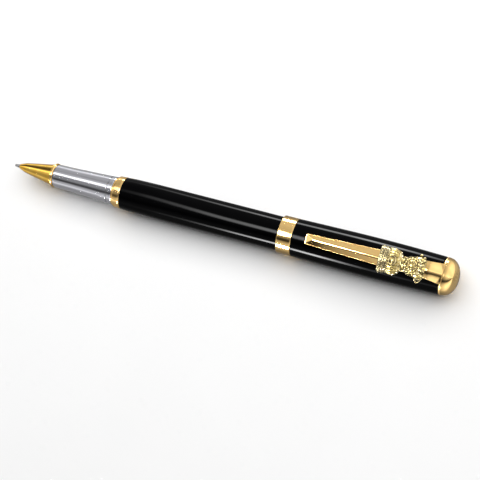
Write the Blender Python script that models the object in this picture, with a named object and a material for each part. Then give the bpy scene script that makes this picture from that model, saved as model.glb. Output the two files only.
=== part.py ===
"""Rollerball pen with its cap posted on the barrel's tail.

The pen lies along X: the writing ball at -X, the domed finial of the cap at +X, and the
clip straight up at +Z.  Stations are millimetres from the tip along the axis, radii and
heights are millimetres from the axis.  The floor, z = 0, is under the cap's belly, and
the origin is half way along the pen.
"""
import math

import bmesh
import bpy
from mathutils import Vector

MM = 0.001

# ---- driving dimensions, in millimetres ---------------------------------------------
LENGTH = 152.6
SIDES = 32
SMALL_SIDES = 24

BALL_RADIUS = 0.35
SOCKET_CLEARANCE = 0.03

REFILL_RADIUS = 3.0
REFILL_WALL = 0.3
REFILL_START = 19.1
REFILL_END = 110.6

CONE_START = 2.0
CONE_END = 14.7
GRIP_START = 15.85
GRIP_END = 35.65
COLLAR_START = 35.75
COLLAR_END = 37.5
RING_START = 37.6
RING_END = 40.75

THREAD_RADIUS = 3.48
THREAD_BORE = 3.56
BUSH_START = 20.0
BUSH_END = 50.4
BUSH_BORE = 3.12
GRIP_BORE = 3.55

BARREL_START = 40.85
BARREL_END = 118.6
BARREL_BORE = 4.45
PLUG_RADIUS = 4.38
TAIL_END = 122.0
SPRING_SEAT = 116.2

LIP_START = 95.3
LIP_END = 100.05
LIP_RADIUS = 6.05
LIP_BORE = 5.56
CAP_START = 100.15
CAP_END = 147.6
CAP_BELLY = 6.33
CAP_BORE = 5.66
CAP_WALL_START = 145.9
INNER_CAP_START = 123.0
INNER_CAP_RADIUS = 5.58
INNER_CAP_BORE = 4.6

STUD_RADIUS = 1.45
STUD_HOLE = 1.55
CLIP_RING_START = 147.7
CLIP_RING_END = 148.25
DOME_START = 148.35
DOME_RADIUS = 5.92
DOME_FULLNESS = 2.1

BLADE_START = 105.0
BLADE_END = 128.45
ORNAMENT_START = 128.55
ORNAMENT_END = 143.0
ARM_START = 143.1
ARM_END = 148.1
CLIP_PIVOT_STATION = 147.9
CLIP_PIVOT_HEIGHT = 6.1
CLIP_GAP = 0.35
BOSS_STATION = 139.0
BOSS_RADIUS = 1.15

# The flat of the cap's lowest facet lies on the floor.
AXIS_HEIGHT = CAP_BELLY * math.cos(math.pi / SIDES)

# finish: (colour, metallic, roughness)
BLACK_LACQUER = ((0.008, 0.008, 0.010), 0.0, 0.08)
GOLD = ((0.83, 0.58, 0.22), 1.0, 0.16)
CHROME = ((0.62, 0.62, 0.66), 1.0, 0.20)
BRASS = ((0.70, 0.52, 0.25), 1.0, 0.35)
STEEL = ((0.55, 0.55, 0.57), 1.0, 0.30)
BLACK_PLASTIC = ((0.02, 0.02, 0.02), 0.0, 0.45)
GREY_PLASTIC = ((0.45, 0.46, 0.48), 0.0, 0.40)
FIBRE = ((0.12, 0.14, 0.35), 0.0, 0.95)


def clear_scene():
    for old in list(bpy.data.objects):
        bpy.data.objects.remove(old, do_unlink=True)


def finish_material(name, finish):
    colour, metallic, roughness = finish
    material = bpy.data.materials.new(name)
    material.use_nodes = True
    shader = material.node_tree.nodes["Principled BSDF"]
    shader.inputs["Base Color"].default_value = (*colour, 1.0)
    shader.inputs["Metallic"].default_value = metallic
    shader.inputs["Roughness"].default_value = roughness
    return material


def body_frame(name, station=0.0, height=0.0, parent=None):
    """An empty on a body's joint axis, which carries the body's pieces."""
    empty = bpy.data.objects.new(name, None)
    bpy.context.collection.objects.link(empty)
    place = Vector((station - LENGTH / 2, 0.0, AXIS_HEIGHT + height)) * MM
    empty["place"] = place
    empty.parent = parent
    empty.location = place - Vector(parent["place"]) if parent else place
    return empty


def add_piece(name, body, finish, bm, station, height=0.0, crease=35.0):
    """Turn a bmesh drawn about (station, height) into a named, shaded, placed object."""
    bmesh.ops.recalc_face_normals(bm, faces=bm.faces)
    bmesh.ops.scale(bm, vec=(MM, MM, MM), verts=bm.verts)
    mesh = bpy.data.meshes.new(name)
    bm.to_mesh(mesh)
    bm.free()
    mesh.shade_smooth()
    mesh.set_sharp_from_angle(angle=math.radians(crease))
    mesh.materials.append(finish_material(name, finish))
    piece = bpy.data.objects.new(name, mesh)
    bpy.context.collection.objects.link(piece)
    piece.parent = body
    place = Vector((station - LENGTH / 2, 0.0, AXIS_HEIGHT + height)) * MM
    piece.location = place - Vector(body["place"])
    return piece


def turned_mesh(profile, start, closed, sides):
    """Spin a (station, radius) profile about the X axis, a facet facing each axis."""
    bm = bmesh.new()
    half_step = math.pi / sides
    points = []
    for station, radius in profile:
        across = (radius * math.sin(half_step), radius * math.cos(half_step))
        points.append(bm.verts.new((station - start, *across)))
    edges = [bm.edges.new(pair) for pair in zip(points, points[1:])]
    if closed:
        edges.append(bm.edges.new((points[-1], points[0])))
    bmesh.ops.spin(
        bm,
        geom=points + edges,
        cent=(0, 0, 0),
        axis=(1, 0, 0),
        angle=2 * math.pi,
        steps=sides,
        use_merge=True,
    )
    bmesh.ops.remove_doubles(bm, verts=bm.verts, dist=0.001)
    return bm


def turned(name, body, finish, profile, closed=True, sides=SIDES):
    """A piece turned about the pen's axis; an open profile starts and ends on it."""
    start = min(station for station, _ in profile)
    bm = turned_mesh(profile, start, closed, sides)
    return add_piece(name, body, finish, bm, start)


def lofted(name, body, finish, sections):
    """Skin cross-sections: each is a station and an outline of (y, height) points."""
    bm = bmesh.new()
    start = sections[0][0]
    loops = []
    for station, outline in sections:
        loops.append([bm.verts.new((station - start, y, height)) for y, height in outline])
    count = len(loops[0])
    for low, high in zip(loops, loops[1:]):
        for i in range(count):
            j = (i + 1) % count
            bm.faces.new((low[i], low[j], high[j], high[i]))
    bm.faces.new(loops[0])
    bm.faces.new(reversed(loops[-1]))
    return add_piece(name, body, finish, bm, start)


def blend(pairs, x):
    """Straight-line value at x through (x, value) pairs."""
    for (x0, y0), (x1, y1) in zip(pairs, pairs[1:]):
        if x <= x1:
            return y0 + (y1 - y0) * (x - x0) / (x1 - x0)
    return pairs[-1][1]


# ---- outlines shared by pieces that must clear each other ----------------------------
BARREL_OUTLINE = [
    (BARREL_START, 5.22),
    (41.3, 5.31),
    (44.0, 5.40),
    (52.0, 5.49),
    (60.0, 5.50),
    (80.0, 5.47),
    (LIP_START, 5.42),
    (110.0, 5.28),
    (BARREL_END, 5.10),
]
CAP_OUTLINE = [
    (CAP_START, 6.03),
    (104.0, 6.10),
    (112.0, 6.21),
    (120.0, 6.31),
    (125.0, CAP_BELLY),
    (130.0, CAP_BELLY),
    (136.0, 6.24),
    (142.0, 6.09),
    (CAP_END, 5.93),
]


def relief_outline(station, half_width, top, edge=0.45, arc_steps=10, back_steps=4):
    """A domed face over a back that follows the cap's surface at a small gap."""
    back = blend(CAP_OUTLINE, station) + CLIP_GAP
    side = math.sqrt(back * back - half_width * half_width) + edge
    outline = []
    for step in range(arc_steps + 1):
        angle = math.pi * step / arc_steps
        rise = math.sin(angle) ** 0.8
        outline.append((half_width * math.cos(angle), side + (top - side) * rise))
    for step in range(back_steps + 1):
        y = half_width * (2 * step / back_steps - 1)
        outline.append((y, math.sqrt(back * back - y * y)))
    return outline


# ---- barrel -----------------------------------------------------------------------
def make_barrel(body):
    bore = [(BARREL_END, BARREL_BORE), (BARREL_START, BARREL_BORE)]
    turned("barrel_tube", body, BLACK_LACQUER, BARREL_OUTLINE + bore)
    bush = [
        (41.2, THREAD_BORE),
        (41.2, PLUG_RADIUS),
        (52.2, PLUG_RADIUS),
        (52.2, THREAD_BORE),
    ]
    turned("barrel_thread_bush", body, BRASS, bush)
    tail = [
        (SPRING_SEAT, 0.0),
        (SPRING_SEAT, PLUG_RADIUS),
        (BARREL_END + 0.05, PLUG_RADIUS),
        (BARREL_END + 0.05, 5.10),
        (120.6, 4.96),
        (121.6, 4.60),
        (TAIL_END, 3.9),
        (TAIL_END, 0.0),
    ]
    turned("barrel_tail_cap", body, BLACK_LACQUER, tail, closed=False)


def make_spring(body, turns=4.5, coil_radius=2.4, wire_radius=0.25, per_turn=12, ring=6):
    """A compression spring between the refill's end and the tail cap's spigot."""
    bm = bmesh.new()
    start = REFILL_END + 0.2 + wire_radius
    travel = SPRING_SEAT - 0.2 - wire_radius - start
    steps = int(turns * per_turn)
    pitch = travel / (2 * math.pi * turns)
    loops = []
    for step in range(steps + 1):
        angle = 2 * math.pi * turns * step / steps
        out = Vector((0.0, math.cos(angle), math.sin(angle)))
        along = Vector((pitch, -coil_radius * math.sin(angle), coil_radius * math.cos(angle)))
        side = along.normalized().cross(out)
        centre = out * coil_radius + Vector((pitch * angle, 0.0, 0.0))
        loop = []
        for k in range(ring):
            turn = 2 * math.pi * k / ring
            loop.append(bm.verts.new(centre + (out * math.cos(turn) + side * math.sin(turn)) * wire_radius))
        loops.append(loop)
    for low, high in zip(loops, loops[1:]):
        for k in range(ring):
            n = (k + 1) % ring
            bm.faces.new((low[k], low[n], high[n], high[k]))
    bm.faces.new(loops[0])
    bm.faces.new(reversed(loops[-1]))
    add_piece("pressure_spring", body, STEEL, bm, start, crease=80.0)


# ---- writing section -----------------------------------------------------------------
def make_trim_ring(body):
    ring = [
        (RING_START, THREAD_BORE),
        (RING_START, 4.68),
        (38.0, 4.86),
        (39.0, 5.12),
        (40.2, 5.29),
        (RING_END, 5.24),
        (RING_END, THREAD_BORE),
    ]
    turned("section_trim_ring", body, GOLD, ring)


def make_section(body):
    cone = [
        (CONE_START, 0.62),
        (CONE_START, 0.80),
        (4.2, 1.60),
        (CONE_END, 3.52),
        (CONE_END, 3.06),
        (19.0, 3.06),
        (19.0, 2.45),
        (12.8, 2.45),
        (12.2, 1.80),
        (4.6, 1.15),
        (3.6, 0.62),
    ]
    turned("nose_cone", body, GOLD, cone)
    bead = [
        (14.75, BUSH_BORE),
        (14.75, 3.60),
        (14.95, 3.93),
        (15.25, 4.05),
        (15.55, 3.98),
        (15.75, 3.80),
        (15.75, BUSH_BORE),
    ]
    turned("nose_bead_ring", body, GOLD, bead)
    grip = [
        (GRIP_START, 3.84),
        (17.5, 3.89),
        (21.7, 3.98),
        (26.0, 4.15),
        (30.2, 4.31),
        (34.5, 4.50),
        (GRIP_END, 4.56),
        (GRIP_END, GRIP_BORE),
        (BUSH_START - 0.2, GRIP_BORE),
        (BUSH_START - 0.2, BUSH_BORE),
        (GRIP_START, BUSH_BORE),
    ]
    turned("grip_sleeve", body, CHROME, grip)
    collar = [
        (COLLAR_START, GRIP_BORE),
        (COLLAR_START, 4.60),
        (36.0, 4.64),
        (37.3, 4.67),
        (COLLAR_END, 4.60),
        (COLLAR_END, GRIP_BORE),
    ]
    turned("grip_rear_collar", body, CHROME, collar)
    bush = [
        (BUSH_START, BUSH_BORE),
        (BUSH_START, THREAD_RADIUS),
        (BUSH_END - 0.3, THREAD_RADIUS),
        (BUSH_END, THREAD_RADIUS - 0.2),
        (BUSH_END, BUSH_BORE),
    ]
    turned("section_thread_bush", body, BRASS, bush)


# ---- refill -----------------------------------------------------------------------------
def make_refill(body):
    inside = REFILL_RADIUS - REFILL_WALL
    spigot = inside - 0.08
    tube_end = REFILL_END - 0.7
    tube = [
        (REFILL_START, inside),
        (REFILL_START, REFILL_RADIUS),
        (tube_end, REFILL_RADIUS),
        (tube_end, inside),
    ]
    turned("refill_tube", body, GREY_PLASTIC, tube)
    holder = [
        (4.8, 0.62),
        (4.8, 0.92),
        (5.4, 1.02),
        (12.5, 1.40),
        (13.2, 2.20),
        (REFILL_START + 0.2, 2.25),
        (REFILL_START + 0.2, spigot),
        (23.0, spigot),
        (23.0, 0.30),
        (6.2, 0.30),
        (6.2, 0.62),
    ]
    turned("refill_tip_holder", body, BLACK_PLASTIC, holder)
    socket = BALL_RADIUS + SOCKET_CLEARANCE
    tip = [
        (0.12, 0.31),
        (0.16, 0.37),
        (0.9, 0.46),
        (2.6, 0.55),
        (6.1, 0.55),
        (6.1, 0.15),
        (0.83, 0.15),
        (0.62, socket + 0.01),
        (0.35, socket + 0.02),
        (0.22, socket - 0.01),
    ]
    turned("refill_tip", body, STEEL, tip, sides=SMALL_SIDES)
    wick = [(23.3, 0.0), (23.3, spigot), (105.8, spigot), (105.8, 0.0)]
    turned("refill_ink_wick", body, FIBRE, wick, closed=False)
    plug = [
        (106.2, 0.0),
        (106.2, spigot),
        (tube_end + 0.05, spigot),
        (tube_end + 0.05, REFILL_RADIUS),
        (REFILL_END, REFILL_RADIUS - 0.2),
        (REFILL_END, 0.0),
    ]
    turned("refill_end_plug", body, BLACK_PLASTIC, plug, closed=False)


def make_ball(body, sides=16):
    meridian = []
    for step in range(sides // 2 + 1):
        angle = math.pi * step / (sides // 2)
        station = BALL_RADIUS * (1 - math.cos(angle))
        meridian.append((station, BALL_RADIUS * math.sin(angle)))
    meridian[-1] = (2 * BALL_RADIUS, 0.0)
    turned("writing_ball", body, STEEL, meridian, closed=False, sides=sides)


# ---- cap ----------------------------------------------------------------------------------
def make_cap(body):
    lip = [
        (LIP_START, LIP_BORE),
        (LIP_START, 5.86),
        (LIP_START + 0.25, 6.0),
        (LIP_START + 0.6, LIP_RADIUS),
        (LIP_END - 0.65, LIP_RADIUS),
        (LIP_END - 0.25, 6.08),
        (LIP_END, 6.02),
        (LIP_END, LIP_BORE),
    ]
    turned("cap_lip_band", body, GOLD, lip)
    inside = [
        (CAP_END, STUD_HOLE),
        (CAP_WALL_START, STUD_HOLE),
        (CAP_WALL_START, CAP_BORE),
        (CAP_START, CAP_BORE),
    ]
    turned("cap_tube", body, BLACK_LACQUER, CAP_OUTLINE + inside)
    inner_cap = [
        (INNER_CAP_START, INNER_CAP_BORE),
        (INNER_CAP_START, INNER_CAP_RADIUS),
        (145.6, INNER_CAP_RADIUS),
        (145.6, 4.2),
        (143.0, 4.2),
        (143.0, 0.8),
        (141.4, 0.8),
        (141.4, INNER_CAP_BORE),
    ]
    turned("inner_cap", body, BLACK_PLASTIC, inner_cap)


def make_finial(body):
    stud = [
        (143.5, 0.0),
        (143.5, STUD_RADIUS - 0.2),
        (143.8, STUD_RADIUS),
        (150.3, STUD_RADIUS),
        (150.3, 0.0),
    ]
    turned("finial_stud", body, STEEL, stud, closed=False, sides=SMALL_SIDES)
    nut = [(144.0, STUD_HOLE), (144.0, 2.9), (145.75, 2.9), (145.75, STUD_HOLE)]
    bm = turned_mesh(nut, nut[0][0], True, SMALL_SIDES)
    flats = 2.75
    for vert in bm.verts:
        radius = math.hypot(vert.co.y, vert.co.z)
        if radius > 2.0:
            turn = math.atan2(vert.co.z, vert.co.y) % math.radians(60) - math.radians(30)
            stretch = flats / math.cos(turn) / radius
            vert.co.y *= stretch
            vert.co.z *= stretch
    add_piece("finial_nut", body, BRASS, bm, nut[0][0])
    washer = [
        (CLIP_RING_START, STUD_HOLE),
        (CLIP_RING_START, DOME_RADIUS),
        (CLIP_RING_END, DOME_RADIUS),
        (CLIP_RING_END, STUD_HOLE),
    ]
    turned("clip_ring", body, GOLD, washer)
    arc_steps = 9
    dome = [(150.6, 0.0), (150.6, STUD_HOLE), (DOME_START, STUD_HOLE)]
    for step in range(arc_steps):
        angle = math.pi / 2 * step / arc_steps
        along = math.sin(angle) ** (2 / DOME_FULLNESS)
        out = math.cos(angle) ** (2 / DOME_FULLNESS)
        dome.append((DOME_START + (LENGTH - DOME_START) * along, DOME_RADIUS * out))
    dome.append((LENGTH, 0.0))
    turned("finial_dome", body, GOLD, dome, closed=False)


# ---- clip -----------------------------------------------------------------------------------
def make_blade(body, back=6.85, foot=6.25, edge=0.35):
    """A tapered blade with a roof ridge, a hipped free end and a foot on the cap."""
    width = [(BLADE_START, 1.6), (BLADE_END, 2.4)]
    ridge = [(BLADE_START, back + edge), (BLADE_START + 2.4, 7.75), (BLADE_END, 8.15)]
    under = [
        (BLADE_START, back),
        (BLADE_START + 0.7, back),
        (BLADE_START + 1.2, foot),
        (BLADE_START + 2.4, foot),
        (BLADE_START + 3.2, back),
        (BLADE_END, back),
    ]
    sections = []
    for station, bottom in under:
        half = blend(width, station)
        outline = [
            (half, bottom),
            (half, back + edge),
            (0.0, blend(ridge, station) + 0.001),
            (-half, back + edge),
            (-half, bottom),
        ]
        sections.append((station, outline))
    lofted("clip_blade", body, GOLD, sections)


def make_ornament(body):
    """A cast baluster: plinth, bead, urn, neck, scroll cluster and leaf, from the blade up."""
    forms = [
        (ORNAMENT_START, 4.15, 8.7),
        (130.7, 4.10, 8.9),
        (130.9, 3.55, 8.6),
        (131.6, 3.60, 8.6),
        (131.9, 4.00, 9.1),
        (133.5, 4.05, 9.5),
        (134.9, 3.45, 9.3),
        (135.7, 2.40, 8.8),
        (136.9, 2.30, 8.6),
        (137.4, 3.10, 8.9),
        (137.8, 3.40, 9.0),
        (140.1, 3.40, 9.0),
        (140.7, 3.20, 8.8),
        (141.6, 4.00, 8.7),
        (142.5, 3.60, 8.6),
        (ORNAMENT_END, 2.75, 8.5),
    ]
    sections = [(station, relief_outline(station, *form)) for station, *form in forms]
    lofted("clip_ornament", body, GOLD, sections)
    boss = bmesh.new()
    bmesh.ops.create_cone(
        boss,
        cap_ends=True,
        segments=SMALL_SIDES,
        radius1=BOSS_RADIUS,
        radius2=BOSS_RADIUS - 0.25,
        depth=0.6,
    )
    add_piece("clip_boss", body, GOLD, boss, BOSS_STATION, height=9.35)


def make_arm(body):
    """A smooth convex arm that comes down from the ornament to the finial."""
    forms = [
        (ARM_START, 2.75, 8.35),
        (144.5, 2.85, 8.05),
        (146.0, 3.0, 7.5),
        (147.3, 3.15, 6.95),
        (ARM_END, 3.25, 6.65),
    ]
    sections = [(station, relief_outline(station, *form)) for station, *form in forms]
    lofted("clip_arm", body, GOLD, sections)


def build_pen():
    clear_scene()
    barrel = body_frame("barrel_frame", LENGTH / 2)
    cap = body_frame("cap_frame", LIP_START, parent=barrel)
    clip = body_frame("clip_frame", CLIP_PIVOT_STATION, CLIP_PIVOT_HEIGHT, cap)
    ring = body_frame("trim_ring_frame", RING_END, parent=barrel)
    section = body_frame("section_frame", COLLAR_END, parent=ring)
    refill = body_frame("refill_frame", REFILL_START, parent=section)
    ball = body_frame("ball_frame", BALL_RADIUS, parent=refill)
    make_barrel(barrel)
    make_spring(barrel)
    make_trim_ring(ring)
    make_section(section)
    make_refill(refill)
    make_ball(ball)
    make_cap(cap)
    make_finial(cap)
    make_blade(clip)
    make_ornament(clip)
    make_arm(clip)


build_pen()
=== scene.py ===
"""Looks of the posted rollerball pen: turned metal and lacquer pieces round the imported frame.

Stations are millimetres from the writing ball along +X, heights and radii are millimetres
from the pen's axis; point() turns them into metres in the row frame.
"""

import math

import bmesh
import bpy
import numpy as np
from mathutils import Matrix, Vector


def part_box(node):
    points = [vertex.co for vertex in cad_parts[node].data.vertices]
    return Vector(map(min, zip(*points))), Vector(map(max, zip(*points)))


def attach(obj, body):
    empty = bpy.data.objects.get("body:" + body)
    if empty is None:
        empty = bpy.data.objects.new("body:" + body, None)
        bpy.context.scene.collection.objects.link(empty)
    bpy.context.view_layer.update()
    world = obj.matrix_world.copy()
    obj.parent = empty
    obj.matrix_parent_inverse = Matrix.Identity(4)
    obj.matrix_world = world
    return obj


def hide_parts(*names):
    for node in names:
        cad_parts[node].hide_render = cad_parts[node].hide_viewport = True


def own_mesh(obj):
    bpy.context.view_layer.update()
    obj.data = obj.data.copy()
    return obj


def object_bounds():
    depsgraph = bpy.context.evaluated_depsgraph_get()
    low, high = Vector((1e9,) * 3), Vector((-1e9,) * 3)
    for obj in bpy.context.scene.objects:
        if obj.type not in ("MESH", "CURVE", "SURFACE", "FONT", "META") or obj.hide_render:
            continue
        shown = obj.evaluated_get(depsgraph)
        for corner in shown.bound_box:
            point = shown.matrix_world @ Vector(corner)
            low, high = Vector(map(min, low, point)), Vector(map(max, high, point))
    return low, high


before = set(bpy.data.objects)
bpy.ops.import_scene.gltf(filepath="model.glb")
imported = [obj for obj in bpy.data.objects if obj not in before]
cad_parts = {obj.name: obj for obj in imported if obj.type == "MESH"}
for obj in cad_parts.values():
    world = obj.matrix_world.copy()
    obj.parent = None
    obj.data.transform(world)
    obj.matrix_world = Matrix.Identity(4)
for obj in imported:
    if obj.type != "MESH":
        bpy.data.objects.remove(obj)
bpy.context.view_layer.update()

MM = 0.001
TAU = 2 * math.pi
CAD_SIDES = 32
ROUND = 144
SMALL_ROUND = 64

TIP_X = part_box("writing_ball")[0].x
AXIS_Z = sum(corner.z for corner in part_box("barrel_tube")) / 2


# ---- places taken from the frame ------------------------------
def span(node):
    """First and last station of a CAD node."""
    low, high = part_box(node)
    return (low.x - TIP_X) / MM, (high.x - TIP_X) / MM


def radius(node):
    """Largest radius of a turned CAD node: its corners, not the flats the box touches."""
    low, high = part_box(node)
    return (high.y - low.y) / 2 / MM / math.cos(math.pi / CAD_SIDES)


def top(node):
    """Greatest height of a CAD node above the axis."""
    return (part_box(node)[1].z - AXIS_Z) / MM


# Radii of bores that several pieces share.
SECTION_BORE, COLLAR_SEAT, STUD_HOLE = 3.12, 3.55, 1.55


def half_width(node):
    """Half of a CAD node's width across Y."""
    low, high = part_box(node)
    return (high.y - low.y) / 2 / MM


def point(station, y, height):
    """A place in the row frame, in metres."""
    return (TIP_X + station * MM, y * MM, AXIS_Z + height * MM)


def circle(station, out, sides):
    """Points of a ring about the axis."""
    angles = [TAU * k / sides for k in range(sides)]
    return [(station, out * math.sin(angle), out * math.cos(angle)) for angle in angles]


# ---- outlines ------------------------------
def curve(points, per_span=8):
    """A smooth run through (station, value) points, as Catmull-Rom spans."""
    ends = [points[0]] + list(points) + [points[-1]]
    made = []
    for a, b, c, d in zip(ends, ends[1:], ends[2:], ends[3:]):
        for step in range(per_span):
            t = step / per_span
            made.append(tuple(
                0.5 * (2 * b[k] + (c[k] - a[k]) * t + (2 * a[k] - 5 * b[k] + 4 * c[k] - d[k]) * t * t
                       + (3 * b[k] - a[k] - 3 * c[k] + d[k]) * t * t * t)
                for k in range(2)
            ))
    made.append(tuple(points[-1]))
    return made


def eased(points, size=0.08, steps=4, sharp=25.0, closed=True):
    """Round the sharp corners of an outline with a small arc."""
    made = []
    count = len(points)
    for i, here in enumerate(points):
        if not closed and i in (0, count - 1):
            made.append(here)
            continue
        before, after = np.array(points[i - 1]), np.array(points[(i + 1) % count])
        middle = np.array(here)
        back, on = before - middle, after - middle
        reach = min(np.linalg.norm(back), np.linalg.norm(on))
        if reach < 1e-6:
            continue
        turn = math.degrees(math.acos(max(-1, min(1, float(
            -(back @ on) / np.linalg.norm(back) / np.linalg.norm(on))))))
        if turn < sharp:
            made.append(here)
            continue
        cut = min(size, 0.45 * reach)
        start = middle + back / np.linalg.norm(back) * cut
        end = middle + on / np.linalg.norm(on) * cut
        for step in range(steps + 1):
            t = step / steps
            made.append(tuple((1 - t) ** 2 * start + 2 * t * (1 - t) * middle + t * t * end))
    return made


def read(points, x):
    """Value at x along a list of (x, value) points."""
    return float(np.interp(x, [p[0] for p in points], [p[1] for p in points]))


# ---- mesh building ------------------------------
class Shape:
    """Closed shells gathered into one mesh, in station, y and height millimetres."""

    def __init__(self):
        self.verts = []
        self.faces = []

    def add(self, verts, faces):
        base = len(self.verts)
        self.verts.extend(tuple(v) for v in verts)
        self.faces.extend(tuple(base + i for i in face) for face in faces)

    def grid(self, rows, caps=True):
        """Skin rows of points; a row wraps on itself, and the end rows are capped."""
        count = len(rows[0])
        verts = [p for row in rows for p in row]
        faces = []
        for r in range(len(rows) - 1):
            for i in range(count):
                j = (i + 1) % count
                faces.append((r * count + i, r * count + j, (r + 1) * count + j, (r + 1) * count + i))
        if caps:
            faces.append(tuple(reversed(range(count))))
            faces.append(tuple((len(rows) - 1) * count + i for i in range(count)))
        self.add(verts, faces)

    def turn(self, outline, sides, closed):
        """Turn a (station, radius) outline about the axis."""
        verts, faces, rings = [], [], []
        for station, out in outline:
            if out < 1e-6:
                rings.append([len(verts)] * sides)
                verts.append((station, 0.0, 0.0))
                continue
            rings.append(list(range(len(verts), len(verts) + sides)))
            for k in range(sides):
                angle = TAU * (k + 0.5) / sides
                verts.append((station, out * math.sin(angle), out * math.cos(angle)))
        pairs = list(zip(rings, rings[1:]))
        if closed:
            pairs.append((rings[-1], rings[0]))
        for low, high in pairs:
            for k in range(sides):
                j = (k + 1) % sides
                face = [low[k], low[j], high[j], high[k]]
                faces.append(tuple(dict.fromkeys(face)))
        self.add(verts, faces)

    def ellipsoid(self, centre, axes, across=16, along=10):
        """A ball stretched along three axis vectors."""
        centre = np.array(centre, float)
        axes = [np.array(a, float) for a in axes]
        rows = []
        for i in range(1, along):
            lift = math.pi * i / along
            row = []
            for k in range(across):
                turn = TAU * k / across
                row.append(centre + axes[0] * math.cos(lift)
                           + (axes[1] * math.cos(turn) + axes[2] * math.sin(turn)) * math.sin(lift))
            rows.append(row)
        base = len(self.verts)
        self.grid(rows, caps=False)
        poles = [centre + axes[0], centre - axes[0]]
        first = base + len(rows) * across
        self.verts.extend(tuple(p) for p in poles)
        tail = base + (len(rows) - 1) * across
        for k in range(across):
            j = (k + 1) % across
            self.faces.append((base + j, base + k, first))
            self.faces.append((tail + k, tail + j, first + 1))

    def ball(self, centre, size, across, along, stretch=1.0):
        """A ball, or a bead stretched along the pen."""
        axes = ((size * stretch, 0, 0), (0, size, 0), (0, 0, size))
        self.ellipsoid(centre, axes, across, along)

    def tube(self, path, thickness, ring=10, up=(0.0, 0.0, 1.0)):
        """A round bar along a path, thickness being its radius; up must not run along the path."""
        path = [np.array(p, float) for p in path]
        rows = []
        for i, here in enumerate(path):
            ahead = path[min(i + 1, len(path) - 1)] - path[max(i - 1, 0)]
            ahead = ahead / np.linalg.norm(ahead)
            side = np.cross(np.array(up), ahead)
            side = side / (np.linalg.norm(side) or 1.0)
            over = np.cross(ahead, side)
            angles = [TAU * k / ring for k in range(ring)]
            rows.append([here + thickness * (side * math.cos(a) + over * math.sin(a)) for a in angles])
        self.grid(rows)

    def build(self, name, material, body, stands_for=(), crease=40.0):
        """Make the piece, ride it on its body and hide the CAD nodes it replaces."""
        mesh = bpy.data.meshes.new(name)
        mesh.from_pydata([point(*v) for v in self.verts], [], self.faces)
        mesh.validate()
        fix_normals(mesh)
        mesh.shade_smooth()
        mesh.set_sharp_from_angle(angle=math.radians(crease))
        mesh.materials.append(material)
        piece = bpy.data.objects.new(name, mesh)
        bpy.context.scene.collection.objects.link(piece)
        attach(piece, body)
        if stands_for:
            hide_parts(*stands_for)
        return piece


def fix_normals(mesh):
    """Turn every face outward."""
    bm = bmesh.new()
    bm.from_mesh(mesh)
    bmesh.ops.recalc_face_normals(bm, faces=bm.faces)
    bm.to_mesh(mesh)
    bm.free()


def turned(name, node, outline, material, body, closed=True, sides=ROUND, soft=0.08):
    """A turned piece that stands for the CAD node of its outline."""
    shape = Shape()
    shape.turn(eased(outline, soft, closed=closed), sides, closed)
    return shape.build(name, material, body, [node])


# ---- materials ------------------------------
def shader(name, colour, metallic, roughness, **sockets):
    """A Principled material; every even value is set on the shader itself."""
    material = bpy.data.materials.new(name)
    material.use_nodes = True
    bsdf = material.node_tree.nodes["Principled BSDF"]
    bsdf.inputs["Base Color"].default_value = (*colour, 1.0)
    bsdf.inputs["Metallic"].default_value = metallic
    bsdf.inputs["Roughness"].default_value = roughness
    for socket, value in sockets.items():
        bsdf.inputs[socket.replace("_", " ")].default_value = value
    return material


def add_node(material, kind, **inputs):
    """A new node with its inputs set by name."""
    node = material.node_tree.nodes.new(kind)
    for socket, value in inputs.items():
        node.inputs[socket.replace("_", " ")].default_value = value
    return node


def grain(material, stretch, scale, detail=3.0):
    """Noise in the piece's own millimetres, stretched by the three factors."""
    links = material.node_tree.links
    where = add_node(material, "ShaderNodeTexCoord")
    mapping = add_node(material, "ShaderNodeMapping", Scale=tuple(f * scale / MM for f in stretch))
    noise = add_node(material, "ShaderNodeTexNoise", Scale=1.0, Detail=detail, Roughness=0.6)
    links.new(where.outputs["Object"], mapping.inputs["Vector"])
    links.new(mapping.outputs["Vector"], noise.inputs["Vector"])
    return noise.outputs["Fac"]


def spread(material, source, low, high, from_low=0.3, from_high=0.7):
    """Carry a 0..1 pattern over to the range low..high."""
    node = add_node(material, "ShaderNodeMapRange")
    values = (from_low, from_high, low, high)
    for socket, value in zip(("From Min", "From Max", "To Min", "To Max"), values):
        node.inputs[socket].default_value = value
    material.node_tree.links.new(source, node.inputs["Value"])
    return node.outputs["Result"]


def into(material, source, socket):
    """Lead a pattern into the shader."""
    material.node_tree.links.new(source, material.node_tree.nodes["Principled BSDF"].inputs[socket])


def bump(material, sources):
    """Stack (pattern, depth in millimetres) pairs into one bumped normal."""
    links = material.node_tree.links
    normal = None
    for source, depth in sources:
        node = add_node(material, "ShaderNodeBump", Strength=1.0, Distance=depth * MM)
        links.new(source, node.inputs["Height"])
        if normal is not None:
            links.new(normal, node.inputs["Normal"])
        normal = node.outputs["Normal"]
    into(material, normal, "Normal")


def tint(material, source, dark, light, low=0.3, high=0.7):
    """Base colour that drifts between two tones with a pattern."""
    ramp = add_node(material, "ShaderNodeValToRGB")
    ramp.color_ramp.elements[0].position = low
    ramp.color_ramp.elements[0].color = (*dark, 1.0)
    ramp.color_ramp.elements[1].position = high
    ramp.color_ramp.elements[1].color = (*light, 1.0)
    material.node_tree.links.new(source, ramp.inputs["Fac"])
    into(material, ramp.outputs["Color"], "Base Color")
    return ramp.outputs["Color"]


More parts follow.
